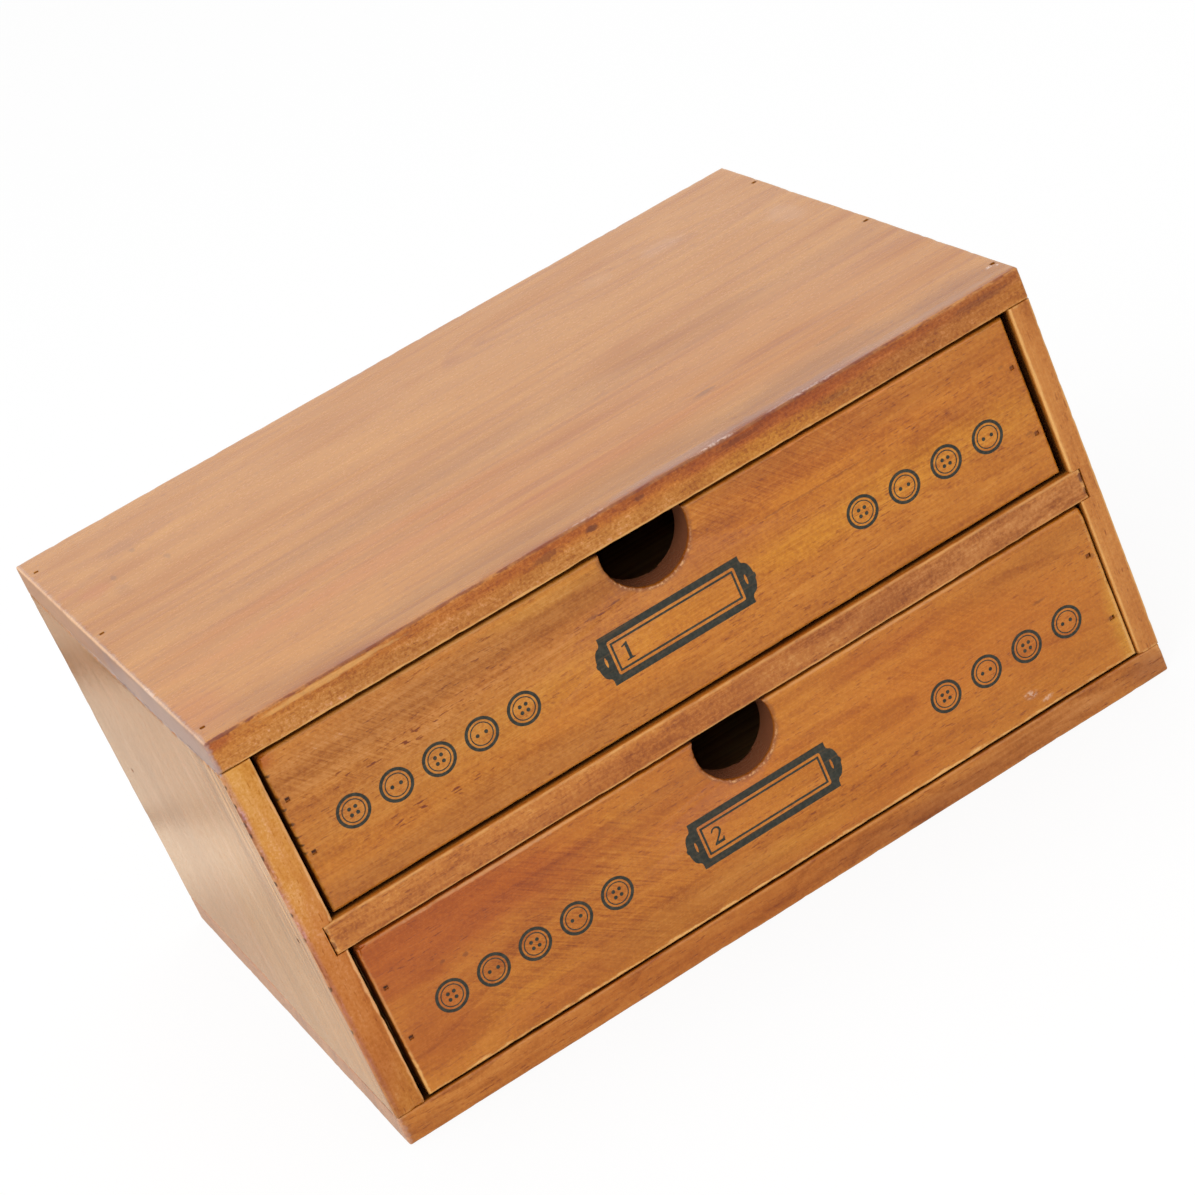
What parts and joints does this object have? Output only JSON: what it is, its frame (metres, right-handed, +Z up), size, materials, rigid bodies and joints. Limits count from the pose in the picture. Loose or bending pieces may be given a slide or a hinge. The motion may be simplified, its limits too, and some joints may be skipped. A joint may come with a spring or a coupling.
{
  "type": "two drawer button storage box",
  "caption": "Small stained-wood desktop case with drawers stacked one above the other, each with a bored finger notch, for buttons and sewing notions.",
  "frame": {"origin": "centre of the footprint, on the surface that the case stands on", "axes": "+X along the width, to the right as the drawers are faced; the drawer fronts face -Y and open towards it; +Z up"},
  "size_m": [0.25, 0.18, 0.1295],
  "materials": {
    "stained_case_wood": "stained and varnished, semi-gloss",
    "stained_front_wood": "stained and varnished, semi-gloss",
    "drawer_box_wood": "lightly stained, matt",
    "plywood": "thin plywood, matt",
    "nail_steel": "dark, stained over"
  },
  "bodies": {
    "case": {"top_board": "stained_case_wood", "bottom_board": "stained_case_wood", "left_side_board": "stained_case_wood", "right_side_board": "stained_case_wood", "divider_shelf": "stained_case_wood", "back_panel": "plywood", "top_nails": "nail_steel", "bottom_nails": "nail_steel", "divider_nails": "nail_steel", "back_panel_brads": "nail_steel"},
    "upper_drawer": {"upper_drawer_front": "stained_front_wood", "upper_drawer_left_side": "drawer_box_wood", "upper_drawer_right_side": "drawer_box_wood", "upper_drawer_back": "drawer_box_wood", "upper_drawer_bottom": "plywood", "upper_drawer_front_nails": "nail_steel", "upper_drawer_back_nails": "nail_steel", "upper_drawer_bottom_tacks": "nail_steel"},
    "lower_drawer": {"lower_drawer_front": "stained_front_wood", "lower_drawer_left_side": "drawer_box_wood", "lower_drawer_right_side": "drawer_box_wood", "lower_drawer_back": "drawer_box_wood", "lower_drawer_bottom": "plywood", "lower_drawer_front_nails": "nail_steel", "lower_drawer_back_nails": "nail_steel", "lower_drawer_bottom_tacks": "nail_steel"}
  },
  "joints": [
    {"name": "upper_drawer_slide", "type": "slide", "parent": "case", "child": "upper_drawer", "axis": [0, -1, 0], "range_m": [0, 0.145]},
    {"name": "lower_drawer_slide", "type": "slide", "parent": "case", "child": "lower_drawer", "axis": [0, -1, 0], "range_m": [-0.0019, 0.1431]}
  ]
}
